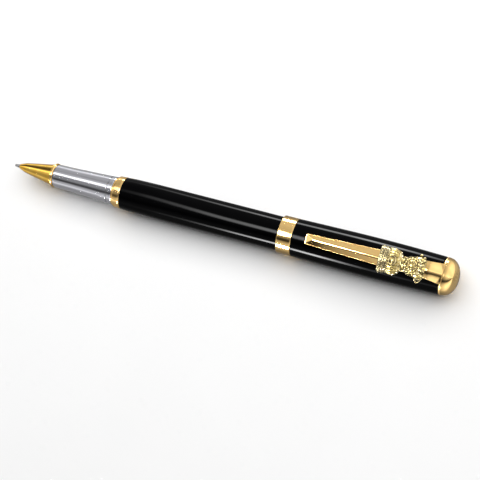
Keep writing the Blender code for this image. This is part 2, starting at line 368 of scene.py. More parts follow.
# How a grain is stretched: long streaks lie along the axes with the small factors.
ALONG = (0.02, 1.0, 1.0)
AROUND = (1.0, 0.02, 0.02)
EVEN = (1.0, 1.0, 1.0)
SLANTED = (0.6, 0.05, 0.3)
GOLD_LIGHT = (0.96, 0.66, 0.27)
GOLD_DARK = (0.92, 0.60, 0.22)
# The nose's gold is a deeper, more saturated copy of the same plate: a painted reflection of darker,
# warmer surroundings.
NOSE_PAINTED_REFLECTION_LIGHT = (0.95, 0.61, 0.14)
NOSE_PAINTED_REFLECTION_DARK = (0.86, 0.50, 0.07)


def gold(name, brush, rough, depth=0.0015, fine=6.0, light=GOLD_LIGHT, dark=GOLD_DARK):
    """Gold plate: a brush direction, a soft drift of tone and faint handling marks."""
    material = shader(name, light, 1.0, rough)
    tint(material, grain(material, EVEN, 0.35), dark, light)
    brushing = grain(material, brush, fine, 4.0)
    into(material, spread(material, brushing, rough * 0.75, rough * 1.35), "Roughness")
    bump(material, [(brushing, depth), (grain(material, EVEN, 1.2), depth * 2)])
    return material


def cast_gold(name):
    """Cast and plated ornament: painted shade darkens the hollows nearly to black, and the edges are
    lighter.
    """
    material = shader(name, GOLD_LIGHT, 1.0, 0.2)
    links = material.node_tree.links
    # Painted shade: ambient occlusion over 0.55 mm darkens the base colour in the hollows.
    hollow = add_node(material, "ShaderNodeAmbientOcclusion", Distance=0.55 * MM)
    hollow.samples = 8
    # The near-black end of this ramp is the painted shade colour in the hollows.
    base = tint(material, hollow.outputs["AO"], (0.02, 0.011, 0.003), (0.60, 0.46, 0.17), 0.5, 0.98)
    edge = add_node(material, "ShaderNodeNewGeometry")
    lift = spread(material, edge.outputs["Pointiness"], 0.0, 0.6, 0.51, 0.58)
    mix = add_node(material, "ShaderNodeMixRGB", Color2=(1.0, 0.90, 0.62, 1.0))
    links.new(lift, mix.inputs["Fac"])
    links.new(base, mix.inputs["Color1"])
    into(material, mix.outputs["Color"], "Base Color")
    skin = grain(material, EVEN, 3.0, 5.0)
    into(material, spread(material, skin, 0.22, 0.32), "Roughness")
    bump(material, [(skin, 0.0012)])
    return material


def chrome():
    """Chrome grip with a fine lengthwise brush."""
    material = shader("chrome_brushed", (0.66, 0.66, 0.70), 1.0, 0.2)
    streaks = grain(material, ALONG, 9.0, 4.0)
    broad = grain(material, ALONG, 1.6, 2.0)
    tint(material, broad, (0.56, 0.56, 0.60), (0.70, 0.70, 0.74))
    into(material, spread(material, streaks, 0.08, 0.13), "Roughness")
    bump(material, [(streaks, 0.0008), (broad, 0.0012)])
    return material


def lacquer():
    """Deep black lacquer: faint orange peel, a breath of variation in the gloss."""
    material = shader(
        "lacquer_black_gloss", (0.0005, 0.0005, 0.0007), 0.0, 0.06, Specular_IOR_Level=0.042,
    )
    peel = grain(material, EVEN, 0.9, 2.0)
    tint(material, grain(material, EVEN, 0.2), (0.0004, 0.0004, 0.0006), (0.0008, 0.0008, 0.001))
    into(material, spread(material, grain(material, EVEN, 2.2), 0.04, 0.09), "Roughness")
    bump(material, [(peel, 0.0012)])
    return material


def plain_metal(name, colour, rough, brush):
    """Turned metal with fine tool marks."""
    material = shader(name, colour, 1.0, rough)
    marks = grain(material, brush, 5.0, 3.0)
    tint(material, marks, tuple(c * 0.82 for c in colour), colour)
    into(material, spread(material, marks, rough * 0.8, rough * 1.3), "Roughness")
    bump(material, [(marks, 0.003)])
    return material


def plastic(name, colour, rough):
    """Moulded plastic, or fibre, with a fine skin."""
    material = shader(name, colour, 0.0, rough)
    skin = grain(material, EVEN, 2.5)
    tint(material, skin, tuple(c * 0.8 for c in colour), colour)
    into(material, spread(material, skin, rough * 0.85, rough * 1.15), "Roughness")
    bump(material, [(skin, 0.004)])
    return material


POLISHED_GOLD = gold("gold_polished", AROUND, 0.10, 0.001)
BRUSHED_GOLD = gold("gold_brushed_round", AROUND, 0.10, 0.0015, 9.0)
BLADE_GOLD = gold("gold_blade", SLANTED, 0.10, 0.0012)
RIM_GOLD = gold("gold_rim", EVEN, 0.34, 0.0008)
# Painted reflection: the nose gets the deeper, warmer copy of the gold plate.
NOSE_GOLD_PAINTED_REFLECTION = gold("gold_nose_painted_reflection", AROUND, 0.12, 0.001, light=NOSE_PAINTED_REFLECTION_LIGHT, dark=NOSE_PAINTED_REFLECTION_DARK)
CAST_GOLD = cast_gold("gold_cast")
CHROME = chrome()
LACQUER = lacquer()
STEEL = plain_metal("steel_turned", (0.44, 0.43, 0.43), 0.25, AROUND)
BRASS = plain_metal("brass_turned", (0.72, 0.53, 0.25), 0.32, AROUND)
BLACK_PLASTIC = plastic("plastic_black", (0.022, 0.022, 0.022), 0.45)
GREY_PLASTIC = plastic("plastic_grey", (0.42, 0.43, 0.45), 0.4)
FIBRE = plastic("fibre_ink", (0.10, 0.12, 0.33), 0.9)


# ---- refill and writing end ------------------------------
def make_writing_end():
    """The ball and the steel point that holds it."""
    ball = radius("writing_ball")
    angles = [math.pi * k / 24 for k in range(25)]
    arc = [(ball * (1 - math.cos(angle)), ball * math.sin(angle)) for angle in angles]
    arc[0], arc[-1] = (0.0, 0.0), (2 * ball, 0.0)
    turned("ball", "writing_ball", arc, STEEL, "ball", closed=False, sides=SMALL_ROUND)
    start, end = span("refill_tip")
    tip = [
        (start, 0.31), (start + 0.04, 0.36), (start + 0.4, 0.42), (start + 1.2, 0.54),
        (start + 1.75, 0.60), (end, 0.60), (end, 0.15), (start + 0.71, 0.15),
        (start + 0.5, 0.39), (start + 0.23, 0.40), (start + 0.1, 0.37),
    ]
    turned("refill_point", "refill_tip", tip, STEEL, "refill", sides=SMALL_ROUND, soft=0.02)


def make_section():
    """Nose cone, bead ring, waisted grip and the collar behind it."""
    start, end = span("nose_cone")
    bead_start = span("nose_bead_ring")[0] - 0.05
    outside = [(start, 0.80)] + curve([
        (start + 2.2, 1.60), (start + 5.5, 2.24), (start + 9.0, 2.86), (bead_start, 3.54),
    ])
    cone = outside + [
        (bead_start, 3.06), (end, 3.06), (end, 2.45), (start + 10.8, 2.45),
        (start + 10.2, 1.80), (start + 2.6, 1.15), (start + 1.6, 0.62), (start, 0.62),
    ]
    # The nose's deeper gold is a painted reflection of warmer, darker surroundings.
    turned("nose", "nose_cone", cone, NOSE_GOLD_PAINTED_REFLECTION, "section")
    start, end = span("nose_bead_ring")
    out = radius("nose_bead_ring")
    middle, round_size = (start + end) / 2 + 0.02, 0.44
    bead = [(start, SECTION_BORE), (start, out - 0.62), (middle - round_size, out - 0.50)]
    for step in range(9):
        angle = math.pi * step / 8
        height = out - round_size + round_size * math.sin(angle)
        bead.append((middle - round_size * math.cos(angle), height))
    bead += [(end, out - 0.6), (end, SECTION_BORE)]
    turned("nose_bead", "nose_bead_ring", bead, POLISHED_GOLD, "section", soft=0.04)
    start, end = span("grip_sleeve")
    out = radius("grip_sleeve")
    waist = curve([
        (start + 0.55, out - 0.70), (start + 2.5, out - 0.665), (start + 6.0, out - 0.58),
        (start + 10.0, out - 0.42), (start + 14.5, out - 0.25), (start + 18.6, out - 0.07),
        (end, out),
    ])
    grip = [(start, out - 0.86), (start + 0.35, out - 0.86), (start + 0.35, out - 0.72)]
    grip += waist + [
        (end, COLLAR_SEAT), (start + 3.95, COLLAR_SEAT), (start + 3.95, SECTION_BORE),
        (start, SECTION_BORE),
    ]
    turned("grip", "grip_sleeve", grip, CHROME, "section", soft=0.06)
    start, end = span("grip_rear_collar")
    out = radius("grip_rear_collar")
    collar = [
        (start, COLLAR_SEAT), (start, out - 0.19), (start + 0.08, out - 0.11),
        (end - 0.12, out), (end, out - 0.08), (end, COLLAR_SEAT),
    ]
    turned("grip_collar", "grip_rear_collar", collar, CHROME, "section", soft=0.05)


def make_threaded_bush():
    """The spigot that screws into the barrel: rolled crests between the bush's flats."""
    start, end = span("section_thread_bush")
    crest = radius("section_thread_bush")
    pitch, depth, steps_per_turn = 0.75, 0.12, 8
    thread_start = span("section_trim_ring")[1] + 0.4
    rows, sides = [], 96
    steps = int((end - 0.6 - thread_start) / pitch * steps_per_turn)
    stations = [start, thread_start - 0.4]
    stations += [thread_start + pitch * k / steps_per_turn for k in range(steps)]
    stations += [end - 0.3, end]
    for station in stations:
        fade = np.clip((station - thread_start) / pitch, 0, 1)
        fade *= np.clip((end - 0.5 - station) / pitch, 0, 1)
        chamfer = 0.2 if station == end else 0.0
        row = []
        for k in range(sides):
            angle = TAU * k / sides
            wave = 0.5 + 0.5 * math.cos(TAU * station / pitch + angle)
            out = crest - depth * fade * wave - chamfer
            row.append((station, out * math.sin(angle), out * math.cos(angle)))
        rows.append(row)
    rows += [circle(end, SECTION_BORE, sides), circle(start, SECTION_BORE, sides)]
    rows.append(rows[0])
    shape = Shape()
    shape.grid(rows, caps=False)
    shape.build("threaded_bush", BRASS, "section", ["section_thread_bush"])


def make_trim_ring():
    """The loose ring behind the grip: a small lip, then a nearly straight body."""
    start, end = span("section_trim_ring")
    out = radius("section_trim_ring")
    ring = [
        (start, 3.56), (start, out - 0.62), (start + 0.14, out - 0.50), (start + 0.30, out - 0.48),
        (start + 0.38, out - 0.53),
    ]
    ring += curve([
        (start + 0.44, out - 0.42), (start + 0.75, out - 0.12), (start + 1.5, out - 0.05),
        (end - 0.5, out - 0.015),
    ])
    ring += [
        (end - 0.42, out - 0.07), (end - 0.34, out - 0.01), (end - 0.08, out - 0.01),
        (end, out - 0.08), (end, 3.56),
    ]
    turned("trim_ring", "section_trim_ring", ring, POLISHED_GOLD, "trim_ring", soft=0.04)


# ---- barrel ------------------------------
def make_barrel():
    """The lacquered tube and the tail cap that the posted cap hides."""
    start, end = span("barrel_tube")
    out = radius("barrel_tube")
    bore = 4.45
    outside = curve([
        (start, out - 0.26), (start + 1.2, out - 0.17), (start + 4.0, out - 0.08),
        (start + 11.0, out - 0.01), (start + 19.0, out), (start + 39.0, out - 0.03),
        (start + 54.0, out - 0.08), (start + 69.0, out - 0.22), (end, out - 0.40),
    ])
    tube = outside + [(end, bore), (start, bore)]
    turned("barrel", "barrel_tube", tube, LACQUER, "barrel", soft=0.12)
    start, end = span("barrel_tail_cap")
    shelf = span("barrel_tube")[1] + 0.05
    tail = [(start, 0.0), (start, 4.38), (shelf, 4.38), (shelf, out - 0.40)] + curve([
        (shelf + 0.6, out - 0.42), (shelf + 2.0, out - 0.58), (end - 0.4, out - 1.0), (end, out - 1.9),
    ]) + [(end, 0.0)]
    turned("tail_cap", "barrel_tail_cap", tail, LACQUER, "barrel",
           closed=False, soft=0.12)


# ---- cap ------------------------------
def cap_outline():
    """The slightly bellied outside of the cap tube."""
    start, end = span("cap_tube")
    out = radius("cap_tube")
    return curve([
        (start, out - 0.30), (start + 4.0, out - 0.23), (start + 12.0, out - 0.115),
        (start + 20.0, out - 0.02), (start + 27.0, out), (start + 36.0, out - 0.085),
        (start + 42.0, out - 0.235), (end, out - 0.40),
    ])


def make_cap():
    """The cap tube with its end wall, and the lip band with a thin rim at each edge."""
    start, end = span("cap_tube")
    bore, wall = 5.66, span("inner_cap")[1] + 0.3
    inside = [(end, STUD_HOLE), (wall, STUD_HOLE), (wall, bore), (start, bore)]
    turned("cap", "cap_tube", cap_outline() + inside, LACQUER, "cap", soft=0.1)
    start, end = span("cap_lip_band")
    out = radius("cap_lip_band")
    rim, groove = 0.30, 0.05
    band = [
        (start, 5.56), (start, out - 0.20), (start + 0.10, out - 0.06),
        (start + rim - 0.06, out - 0.02), (start + rim, out - 0.02 - groove),
        (start + rim + 0.07, out - 0.03),
        (end - rim - 0.07, out - 0.03), (end - rim, out - 0.02 - groove), (end - rim + 0.06, out),
        (end - 0.10, out), (end, out - 0.10), (end, 5.56),
    ]
    turned("lip_band", "cap_lip_band", band, BRUSHED_GOLD, "cap", soft=0.03)


def make_dome():
    """The finial, with a ring of small pressed petals round its apex, and the washer under it."""
    start, end = span("finial_dome")
    out = radius("finial_dome")
    rows, sides, steps, fullness = [], 240, 90, 2.1
    petals, ring_at, ring_wide, deep = 16, 0.52, 0.085, 0.13
    for i in range(steps + 1):
        lift = math.pi / 2 * i / steps
        along = math.sin(lift) ** (2 / fullness)
        across = max(math.cos(lift), 0.0) ** (2 / fullness)
        row = []
        for k in range(sides):
            angle = TAU * k / sides
            wave = 0.5 + 0.5 * math.cos(petals * angle)
            reach = (across - ring_at) / ring_wide
            press = deep * math.exp(-reach * reach) * wave ** 1.5
            station = start + (end - start) * along - press * along
            edge = across * out - press * across
            row.append((station, edge * math.sin(angle), edge * math.cos(angle)))
        rows.append(row)
    deep = start + 2.2
    for station, edge in ((start, out - 0.04), (start, STUD_HOLE), (deep, STUD_HOLE), (deep, 0.01)):
        rows.insert(0, circle(station, edge, sides))
    shape = Shape()
    shape.grid(rows)
    shape.build("dome", POLISHED_GOLD, "cap", ["finial_dome"], crease=50.0)
    start, end = span("clip_ring")
    ring = [(start, STUD_HOLE), (start, out - 0.03), (start + 0.1, out + 0.01), (end - 0.1, out + 0.01),
            (end, out - 0.03), (end, STUD_HOLE)]
    turned("clip_washer", "clip_ring", ring, RIM_GOLD, "cap", soft=0.05)


# ---- clip ------------------------------
CAP = cap_outline()
CLIP_GAP = 0.35
# A relief's edge over its back, and how boxy its section is: 1 is an ellipse, less is boxier.
RELIEF_EDGE, RELIEF_POWER = 0.45, 0.8


def back_height(station, y):
    """The clip's hollow back, which follows the cap's round at a small gap."""
    back = read(CAP, min(station, CAP[-1][0])) + CLIP_GAP
    return math.sqrt(max(back * back - y * y, 0.01))


def relief(shape, forms, skin=None, rows_per_mm=8, arc=48, back=8):
    """A domed run over the cap.

    The forms are (station, half width, top height), and skin adds to the face.
    """
    first, last = forms[0][0], forms[-1][0]
    widths = [(f[0], f[1]) for f in forms]
    tops = [(f[0], f[2]) for f in forms]
    rows = []
    count = max(int((last - first) * rows_per_mm), 2)
    for i in range(count + 1):
        station = first + (last - first) * i / count
        wide, crown = read(widths, station), read(tops, station)
        side = back_height(station, wide) + RELIEF_EDGE
        row = []
        for k in range(arc + 1):
            turn = math.pi * k / arc
            y = wide * math.cos(turn)
            rise = side + (crown - side) * math.sin(turn) ** RELIEF_POWER
            out = skin(station, turn) if skin else 0.0
            row.append((station, y * (1 + out / wide), rise + out))
        for k in range(back + 1):
            y = wide * (2 * k / back - 1)
            row.append((station, y, back_height(station, y)))
        rows.append(row)
    shape.grid(rows)


def make_blade():
    """A shallow roof with a rounded ridge, a hipped tip and a thin raised rim."""
    start, end = span("clip_blade")
    wide_end = half_width("clip_blade")
    wide_start = wide_end - 0.8
    eaves, back = top("clip_blade") - 0.80, top("clip_blade") - 1.3
    rim, edge_cut, round_ridge = 0.16, 0.06, 1.05
    far_slope, near_start, near_end = math.radians(26.0), math.radians(17.5), math.radians(29.5)
    hip_slope = math.radians(15.0)
    foot_from, foot_to, foot_deep = 1.0, 2.6, 0.6

    def roof(y, inner, near):
        """Height of the face over the eaves: two slopes and an arc that joins them."""
        bend = math.sin(far_slope + near)
        far_rise, near_rise = math.tan(far_slope), math.tan(near)
        ridge = inner * (far_rise - near_rise) / (far_rise + near_rise)
        middle = ridge + round_ridge * (math.cos(far_slope) - math.cos(near)) / bend
        centre = far_rise * (inner - ridge)
        centre -= round_ridge * (math.sin(far_slope) + math.sin(near)) / bend
        low, high = middle - round_ridge * math.sin(near), middle + round_ridge * math.sin(far_slope)
        if low < y < high:
            return centre + math.sqrt(round_ridge ** 2 - (y - middle) ** 2)
        return min(far_rise * (inner - y), near_rise * (inner + y))

    rows, count, across = [], 150, 44
    for i in range(count + 1):
        t = i / count
        station = start + (end - start) * t
        wide = wide_start + (wide_end - wide_start) * t
        inner = wide - rim
        near = near_start + (near_end - near_start) * t ** 0.5
        away = station - start
        under = back - foot_deep * float(foot_from <= away <= foot_to)
        tip = math.tan(hip_slope) * max(away - rim, 0.0)
        foot, cut = eaves - edge_cut / 2, eaves - edge_cut
        row = [(station, wide, under), (station, wide, cut), (station, wide - edge_cut, foot)]
        for k in range(across + 1):
            y = inner * (1 - 2 * k / across)
            row.append((station, y * 0.985, foot + min(roof(y, inner, near), tip)))
        row += [(station, edge_cut - wide, foot), (station, -wide, cut), (station, -wide, under)]
        rows.append(row)
    shape = Shape()
    shape.grid(rows)
    shape.build("blade", BLADE_GOLD, "clip", ["clip_blade"], crease=32.0)
    front, rear = start + rim / 2, end - 0.05
    edge = [(rear, wide_end - rim / 2, eaves), (front, wide_start - rim / 2, eaves)]
    edge += [(front, rim / 2 - wide_start, eaves), (rear, rim / 2 - wide_end, eaves)]
    shape = Shape()
    shape.tube(edge, rim / 2)
    shape.build("blade_rim", RIM_GOLD, "clip")


def surface(forms, station, y):
    """Height of a relief's face at a point."""
    wide = read([(f[0], f[1]) for f in forms], station)
    crown = read([(f[0], f[2]) for f in forms], station)
    side = back_height(station, wide) + RELIEF_EDGE
    share = max(1 - min(abs(y) / wide, 1.0) ** 2, 0.0)
    return side + (crown - side) * math.sqrt(share) ** RELIEF_POWER


def beads_across(shape, forms, station, count, size, wide, sink=0.25, stretch=1.0):
    """A row of beads over the relief, evenly spaced round its arc."""
    for k in range(count):
        turn = math.pi * (k + 0.5) / count
        y = wide * math.cos(turn)
        height = surface(forms, station, y) - size * sink
        shape.ball((station, y, height), size, 12, 8, stretch)


def moulding(shape, forms, station, size, wide, steps=28):
    """A round moulding laid over the relief from side to side."""
    path = []
    for k in range(steps + 1):
        y = wide * math.cos(math.pi * k / steps)
        path.append((station, y, surface(forms, station, y)))
    shape.tube(path, size)


def make_ornament():
    """A cast baluster: plinth, gadrooned urn, fluted neck, rosette, leaf and beads."""
    start, end = span("clip_ornament")
    wide = half_width("clip_ornament")
    tall = top("clip_ornament")

    def at(offset):
        return start + offset

    plinth = [
        (at(0.0), wide, tall - 0.95), (at(0.5), wide, tall - 0.75), (at(2.15), wide - 0.08, tall - 0.7),
    ]

    def columns(station, turn):
        return -0.16 * abs(math.sin(11 * turn)) ** 0.7 * float(at(1.0) < station < at(1.95))

    shape = Shape()
    relief(shape, plinth, columns, arc=132, rows_per_mm=14)
    moulding(shape, plinth, at(0.14), 0.13, wide)
    beads_across(shape, plinth, at(0.56), 15, 0.30, wide - 0.05, sink=0.1, stretch=0.85)
    moulding(shape, plinth, at(0.98), 0.12, wide)
    moulding(shape, plinth, at(1.48), 0.22, wide)
    moulding(shape, plinth, at(1.95), 0.12, wide)
    shape.build("clip_plinth", CAST_GOLD, "clip", ["clip_ornament"])

    lobes = 13
    urn = [
        (at(2.0), wide - 0.55, tall - 1.0), (at(2.5), wide - 0.35, tall - 0.8),
        (at(3.2), wide - 0.12, tall - 0.25), (at(4.3), wide - 0.10, tall),
        (at(5.3), wide - 0.35, tall - 0.15), (at(6.2), wide - 0.85, tall - 0.45),
        (at(6.9), wide - 1.6, tall - 0.8),
    ]

    def gadroons(station, turn):
        fade = math.sin(math.pi * min(max((station - at(2.5)) / 3.7, 0.0), 1.0)) ** 0.6
        return (0.30 * abs(math.cos(lobes * turn / 2)) ** 0.6 - 0.26) * fade

    shape = Shape()
    relief(shape, urn, gadroons, arc=156, rows_per_mm=12)
    moulding(shape, urn, at(2.42), 0.15, wide - 0.35)
    beads_across(shape, urn, at(2.85), 15, 0.20, wide - 0.3, sink=0.0)
    beads_across(shape, urn, at(6.3), 11, 0.24, wide - 1.0, sink=0.1)
    make_medallion(shape, at(4.45), tall)
    shape.build("clip_urn", CAST_GOLD, "clip")

    flutes = 7
    neck = [
        (at(6.6), 2.7, tall - 0.95), (at(7.1), 2.35, tall - 0.9), (at(8.3), 2.3, tall - 0.9),
        (at(9.0), 2.9, tall - 0.8),
    ]

    def fluting(station, turn):
        return -0.26 * abs(math.sin(flutes * turn / 2)) ** 0.8

    shape = Shape()
    relief(shape, neck, fluting, arc=112, rows_per_mm=12)
    moulding(shape, neck, at(6.9), 0.15, 2.45)
    shape.build("clip_neck", CAST_GOLD, "clip")

    bed = [
        (at(8.5), 2.5, tall - 1.15), (at(9.3), 2.9, tall - 1.05), (at(11.4), 3.3, tall - 1.0),
        (at(12.4), 3.5, tall - 1.0), (at(13.4), 3.2, tall - 1.05), (end, 2.7, tall - 1.1),
    ]
    shape = Shape()
    relief(shape, bed)
    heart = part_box("clip_boss")
    centre = ((heart[0].x + heart[1].x) / 2 - TIP_X) / MM
    make_disc(shape, bed, centre, 2.75)
    stud = 0.42
    for degrees in (38, -38, 142, -142):
        turn = math.radians(degrees)
        x, y = centre + 2.6 * math.cos(turn), 3.0 * math.sin(turn)
        height = surface(bed, x, y) + 0.15
        shape.ball((x, y, height), stud, 14, 10)
    shape.build("clip_rosette", CAST_GOLD, "clip")
    make_side_leaf(at, bed)
    make_boss(centre, top("clip_boss"))


def make_disc(shape, bed, centre, out, sides=168, rings=40):
    """A round flower: a scalloped rim, two rows of petals and a grooved middle."""
    petals_from, rim_from = 0.60, 0.90
    rows = []
    for i in range(rings + 1):
        share = i / rings
        row = []
        for k in range(sides):
            turn = TAU * k / sides
            outer = abs(math.cos(7 * turn)) ** 0.5
            inner = abs(math.cos(4.5 * turn + 0.4)) ** 0.5
            reach = out * (1 + 0.05 * (outer - 0.5)) * share
            if share > rim_from:
                lift = 0.30 * math.sqrt(max(1 - ((share - rim_from) / 0.10) ** 2, 0.0))
                lift -= 0.35 * (share > 0.99)
            elif share > petals_from:
                lift = 0.08 + 0.30 * outer * math.sin(math.pi * (share - petals_from) / 0.32)
            else:
                lift = 0.22 + 0.32 * inner * math.sin(math.pi * max(share - 0.25, 0.0) / 0.38)
            x, y = centre + reach * math.cos(turn), 1.08 * reach * math.sin(turn)
            row.append((x, y, surface(bed, x, y) + lift))
        rows.append(row)
    shape.grid(rows)


def make_medallion(shape, station, crown):
    """An oval frame with a low dome in it, on the urn's face."""
    oval = []
    for k in range(33):
        angle = TAU * k / 32
        y = 1.35 * math.sin(angle)
        oval.append((station + 1.05 * math.cos(angle), y, crown + 0.02 - 0.10 * y ** 2))
    shape.tube(oval, 0.15, 8)
    shape.ellipsoid((station, 0.0, crown - 0.22), ((0.62, 0, 0), (0, 0.85, 0), (0, 0, 0.34)), 20, 12)


def make_side_leaf(at, bed):
    """A pointed leaf loop on one side, a pair of beads on the other, small leaves on the arm."""
    shape = Shape()
    base, root, reach = at(12.4), 2.55, 4.35
    loop = []
    for k in range(25):
        t = k / 24
        sweep = math.sin(math.pi * t)
        x = at(11.0) + 3.1 * t
        y = -(root + (reach - root) * sweep ** 1.3)
        loop.append((x, y, back_height(x, y) + 0.42))
    shape.tube(loop, 0.16, 10)
    leaf = (base, -3.15, back_height(base, 3.15) + 0.4)
    shape.ellipsoid(leaf, ((1.05, 0, 0), (0, 0.55, -0.3), (0, 0.15, 0.25)), 14, 10)
    for x, y, size in ((at(12.1), 3.95, 0.50), (at(13.3), 3.25, 0.42)):
        shape.ball((x, y, back_height(x, y) + 0.5), size, 18, 12)
    for turn in (-0.5, -0.17, 0.17, 0.5):
        x, y = at(13.2), 2.6 * math.sin(turn * 1.6)
        height = surface(bed, x, y) + 0.05
        lengthwise = (1.2 * math.cos(turn), 1.2 * math.sin(turn), 0)
        shape.ellipsoid((x, y, height), (lengthwise, (0, 0.4, 0), (0, 0, 0.4)), 14, 12)
    shape.build("clip_leaf", CAST_GOLD, "clip")


def make_boss(station, crown):
    """The round boss: a raised rim round a low dome."""
    low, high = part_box("clip_boss")
    out = (high.y - low.y) / 2 / MM
    outline = curve([
        (crown - 0.9, out - 0.05), (crown - 0.42, out), (crown - 0.22, out - 0.02),
        (crown - 0.16, out - 0.12), (crown - 0.26, out - 0.24), (crown - 0.14, out - 0.42),
        (crown - 0.04, out * 0.35), (crown, 0.0),
    ], 4)
    sides = 48
    angles = [TAU * k / sides for k in range(sides)]
    rows = []
    for height, edge in outline:
        edge = max(edge, 0.004)
        rows.append([(station + edge * math.cos(a), edge * math.sin(a), height) for a in angles])
    shape = Shape()
    shape.grid(rows)
    shape.build("boss", CAST_GOLD, "clip", ["clip_boss"])


def make_arm():
    """The arm under the dome: a ridge with a narrow crest and sides that curve steeper to the edge."""
    start, end = span("clip_arm")
    wide = half_width("clip_arm")
    tall = top("clip_arm")
    widths = curve([
        (start - 0.25, wide - 0.55), (start + 0.8, wide - 0.48), (start + 2.4, wide - 0.34),
        (start + 3.8, wide - 0.14), (end, wide),
    ], 6)
    crowns = curve([
        (start - 0.25, tall - 0.1), (start + 0.8, tall), (start + 1.8, tall - 0.30),
        (start + 3.2, tall - 0.92), (end, tall - 1.7),
    ], 6)
    crest, bow, across, back = math.tan(math.radians(9.0)), 0.105, 40, 8
    rows = []
    for station, half in widths:
        crown = read(crowns, station)
        row = []
        for k in range(across + 1):
            y = half * math.cos(math.pi * k / across)
            rise = crown - crest * (math.sqrt(y * y + 0.05) - 0.22) - bow * y * y
            row.append((station, y, max(rise, back_height(station, y) + 0.25)))
        for k in range(back + 1):
            y = half * (2 * k / back - 1)
            row.append((station, y, back_height(station, y)))
        rows.append(row)
    shape = Shape()
    shape.grid(rows)
    shape.build("arm", POLISHED_GOLD, "clip", ["clip_arm"])


# ---- inside the pen ------------------------------
def make_spring():
    """The spring behind the refill, built on a mesh of its own."""
    low, high = span("pressure_spring")
    wire, turns, steps, travel = 0.25, 4.5, 32, 1.5
    coil = half_width("pressure_spring") - wire
    count = int(turns * steps)
    path = []
    for k in range(count + 1):
        turn = TAU * k / steps
        station = low + wire + (high - low - 2 * wire) * k / count
        path.append((station, coil * math.cos(turn), coil * math.sin(turn)))
    shape = Shape()
    shape.tube(path, wire, 12, up=(1.0, 0.0, 0.0))
    spring = shape.build("refill_spring", STEEL, "barrel", ["pressure_spring"])
    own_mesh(spring)


def finish_hidden():
    """Finishes for the CAD pieces that stay as they are."""
    finishes = {
        "barrel_thread_bush": BRASS, "refill_tube": GREY_PLASTIC, "refill_tip_holder": BLACK_PLASTIC,
        "refill_ink_wick": FIBRE, "refill_end_plug": BLACK_PLASTIC, "inner_cap": BLACK_PLASTIC,
        "finial_stud": STEEL, "finial_nut": BRASS,
    }
    for node, material in finishes.items():
        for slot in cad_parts[node].material_slots:
            slot.material = material


# ---- stage ------------------------------
# The view, in degrees and millimetres; the aim is a station on the axis, moved down in the picture.
VIEW_TILT = 16.4
VIEW_ROLL = 3.0
PICTURE_TURN = 14.73
VIEW_DISTANCE = 418.4
AIM_STATION = 82.6
AIM_BELOW = 5.18
LENS = 98.85


def make_camera():
    """The photograph's view: from above, a little beyond the cap, the pen falling to the right."""
    tilt, roll, turn = (math.radians(a) for a in (VIEW_TILT, VIEW_ROLL, PICTURE_TURN))
    back = Vector((math.sin(tilt), -math.sin(roll) * math.cos(tilt), math.cos(roll) * math.cos(tilt)))
    along = (Vector((1, 0, 0)) - back * back.x).normalized()
    down = (-back).cross(along)
    right = along * math.cos(turn) - down * math.sin(turn)
    up = -(along * math.sin(turn) + down * math.cos(turn))
    camera = bpy.data.objects.new("camera", bpy.data.cameras.new("camera"))
    bpy.context.scene.collection.objects.link(camera)
    camera.data.lens = LENS
    camera.data.sensor_width = 36.0
    camera.data.clip_start = 0.02
    camera.data.clip_end = 20.0
    aim = Vector(point(AIM_STATION, 0, 0)) + down * AIM_BELOW * MM
    rotation = Matrix((right, up, back)).transposed().to_4x4()
    camera.matrix_world = Matrix.Translation(aim + back * VIEW_DISTANCE * MM) @ rotation
    bpy.context.scene.camera = camera


def make_floor():
    """White paper under the pen; the metal mirrors the tent instead of it."""
    mesh = bpy.data.meshes.new("floor")
    reach, level = 3.0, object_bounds()[0].z
    corners = ((-reach, -reach), (reach, -reach), (reach, reach), (-reach, reach))
    mesh.from_pydata([(x, y, level) for x, y in corners], [], [(0, 1, 2, 3)])
    floor = bpy.data.objects.new("floor", mesh)
    bpy.context.scene.collection.objects.link(floor)
    paper = shader("floor_paper", (0.86, 0.86, 0.86), 0.0, 0.9, Specular_IOR_Level=0.1)
    tint(paper, grain(paper, EVEN, 0.02), (0.855, 0.855, 0.855), (0.87, 0.87, 0.87))
    mesh.materials.append(paper)
    floor.visible_glossy = False


# What the metal mirrors: a tunnel of light round the pen. Angles are degrees from straight up,
# towards the near side (-Y); places are metres along the tunnel; levels are brightness.
TENT_REACH = 0.6
TENT_END = 1.5
BASE_LIGHT = (
    (-180, 0.18), (-128, 0.30), (-105, 0.68), (-84, 0.74), (-60, 0.76), (-42, 0.66), (-24, 0.62),
    (-12, 0.66), (0, 0.84), (10, 0.46), (22, 0.26), (30, 0.05), (40, 0.03), (49, 0.40), (60, 0.70),
    (76, 0.85), (98, 0.68), (112, 0.36), (126, 0.20), (180, 0.18),
)
NOSE_LIGHT = (
    (-180, 0.40), (-100, 0.65), (-84, 0.60), (-72, 0.11), (-52, 0.05), (-36, 0.16), (-20, 0.90),
    (-6, 1.00), (12, 0.72), (32, 0.42), (52, 0.38), (78, 0.52), (96, 0.80), (112, 0.70), (180, 0.40),
)
GRIP_LIGHT = (
    (-180, 0.35), (-120, 0.55), (-95, 0.74), (-72, 0.52), (-50, 0.45), (-32, 0.54), (-23, 0.95),
    (-15, 1.60), (-9, 0.95), (0, 0.36), (12, 0.33), (23, 0.27), (32, 0.10), (43, 0.06), (51, 0.30),
    (60, 0.62), (80, 0.72), (104, 0.38), (130, 0.36), (180, 0.35),
)
